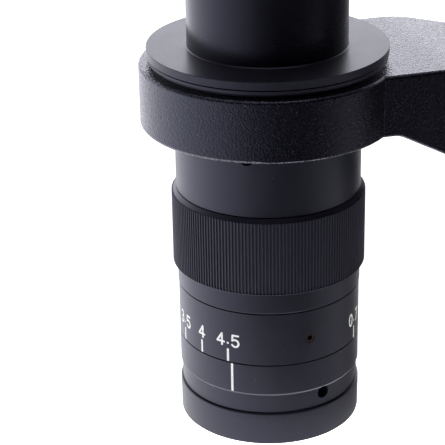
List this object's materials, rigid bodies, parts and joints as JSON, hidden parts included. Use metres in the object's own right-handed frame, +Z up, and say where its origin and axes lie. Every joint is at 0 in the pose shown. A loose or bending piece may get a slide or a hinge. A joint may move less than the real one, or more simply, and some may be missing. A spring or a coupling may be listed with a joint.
{
  "type": "zoom inspection lens on a focusing ring arm",
  "caption": "Monocular zoom inspection lens in the ring arm of a rack-and-pinion focus mount that clamps on a vertical pillar.",
  "frame": {"origin": "on the lens axis at the front rim of the nose, the outer end of the accessory thread", "axes": "+Z up along the lens axis towards the camera end, +X along the arm towards the pillar clamp, +Y the side of the lens clamp screw"},
  "size_m": [0.188, 0.0919, 0.17],
  "materials": {
    "black_anodised": "satin black anodised aluminium with fine turned lines",
    "textured_casting": "semi-gloss black paint with a fine pebbled texture over a casting",
    "optical_glass": "polished and coated optical glass",
    "brass": "turned brass",
    "bright_aluminium": "plain turned aluminium",
    "steel": "ground steel",
    "blackened_steel": "blackened steel screws with light wear",
    "knob_plastic": "moulded black plastic with a fine grain",
    "knob_metal": "plain turned aluminium",
    "nylon": "natural nylon",
    "white_fill": "matt white paint filling the engraved scale"
  },
  "bodies": {
    "focus_block": {"focus_block": "textured_casting", "shaft_bush_left": "brass", "shaft_bush_right": "brass", "pillar_pad": "brass"},
    "arm": {"ring_arm": "textured_casting", "focus_rack": "steel", "rack_screws": "steel", "gib_strip": "brass", "gib_screws": "blackened_steel"},
    "focus_drive": {"pinion_shaft": "steel", "focus_knob_left": "knob_plastic", "focus_knob_right": "knob_plastic", "knob_cap_left": "knob_metal", "knob_cap_right": "knob_metal", "friction_washers": "nylon"},
    "pillar_clamp": {"pillar_clamp_stud": "steel", "pillar_clamp_knob": "knob_plastic"},
    "lens_clamp": {"lens_clamp_stud": "steel", "lens_clamp_head": "knob_metal"},
    "lens_barrel": {"nose_ring": "black_anodised", "index_barrel": "black_anodised", "neck_screws": "blackened_steel", "zoom_stop_pin": "steel", "front_lens_cell": "black_anodised", "front_lens": "optical_glass", "front_retaining_ring": "black_anodised", "guide_tube": "bright_aluminium", "main_barrel": "black_anodised", "barrel_screws": "blackened_steel", "seat_collar": "black_anodised", "seat_washer": "black_anodised", "top_flange": "black_anodised", "upper_tube": "black_anodised", "relay_lens_cell": "black_anodised", "relay_lens": "optical_glass", "relay_retaining_ring": "black_anodised", "adapter_screws": "blackened_steel"},
    "camera_adapter": {"camera_adapter": "black_anodised"},
    "zoom_control": {"zoom_ring": "black_anodised", "zoom_sleeve": "black_anodised", "scale_ring": "black_anodised", "scale_ring_screws": "blackened_steel", "cam_tube": "bright_aluminium", "cam_drive_screws": "blackened_steel"},
    "variator": {"variator_cell": "bright_aluminium", "variator_lens": "optical_glass", "variator_cam_pins": "brass"},
    "compensator": {"compensator_cell": "bright_aluminium", "compensator_lens": "optical_glass", "compensator_cam_pins": "brass"}
  },
  "joints": [
    {"name": "focus_slide", "type": "slide", "parent": "focus_block", "child": "arm", "axis": [0, 0, 1], "range_m": [-0.017, 0.017]},
    {"name": "focus_turn", "type": "hinge", "parent": "focus_block", "child": "focus_drive", "pos_m": [0.0855, 0, 0.066], "axis": [0, 1, 0], "range_deg": [-108.28, 108.28]},
    {"name": "pillar_clamp_turn", "type": "hinge", "parent": "focus_block", "child": "pillar_clamp", "pos_m": [0.14, 0, 0.066], "axis": [1, 0, 0], "range_deg": [0, 720]},
    {"name": "lens_clamp_turn", "type": "hinge", "parent": "arm", "child": "lens_clamp", "pos_m": [0, 0.035, 0.08872], "axis": [0, 1, 0], "range_deg": [0, 720]},
    {"name": "lens_turn", "type": "hinge", "parent": "arm", "child": "lens_barrel", "pos_m": [0, 0, 0.09], "axis": [0, 0, 1], "continuous": true},
    {"name": "camera_turn", "type": "hinge", "parent": "lens_barrel", "child": "camera_adapter", "pos_m": [0, 0, 0.15], "axis": [0, 0, 1], "continuous": true},
    {"name": "zoom_turn", "type": "hinge", "parent": "lens_barrel", "child": "zoom_control", "pos_m": [0, 0, 0.05], "axis": [0, 0, 1], "range_deg": [0, 270]},
    {"name": "variator_slide", "type": "slide", "parent": "lens_barrel", "child": "variator", "axis": [0, 0, 1], "range_m": [0, 0.018]},
    {"name": "compensator_slide", "type": "slide", "parent": "lens_barrel", "child": "compensator", "axis": [0, 0, 1], "range_m": [-0.008, 0]}
  ],
  "couplings": [
    {"joint": "focus_turn", "follows": "focus_slide", "rad_per_m": 111.11},
    {"joint": "variator_slide", "follows": "zoom_turn", "m_per_rad": 0.0038197},
    {"joint": "compensator_slide", "follows": "zoom_turn", "m_per_rad": -0.0016977}
  ]
}
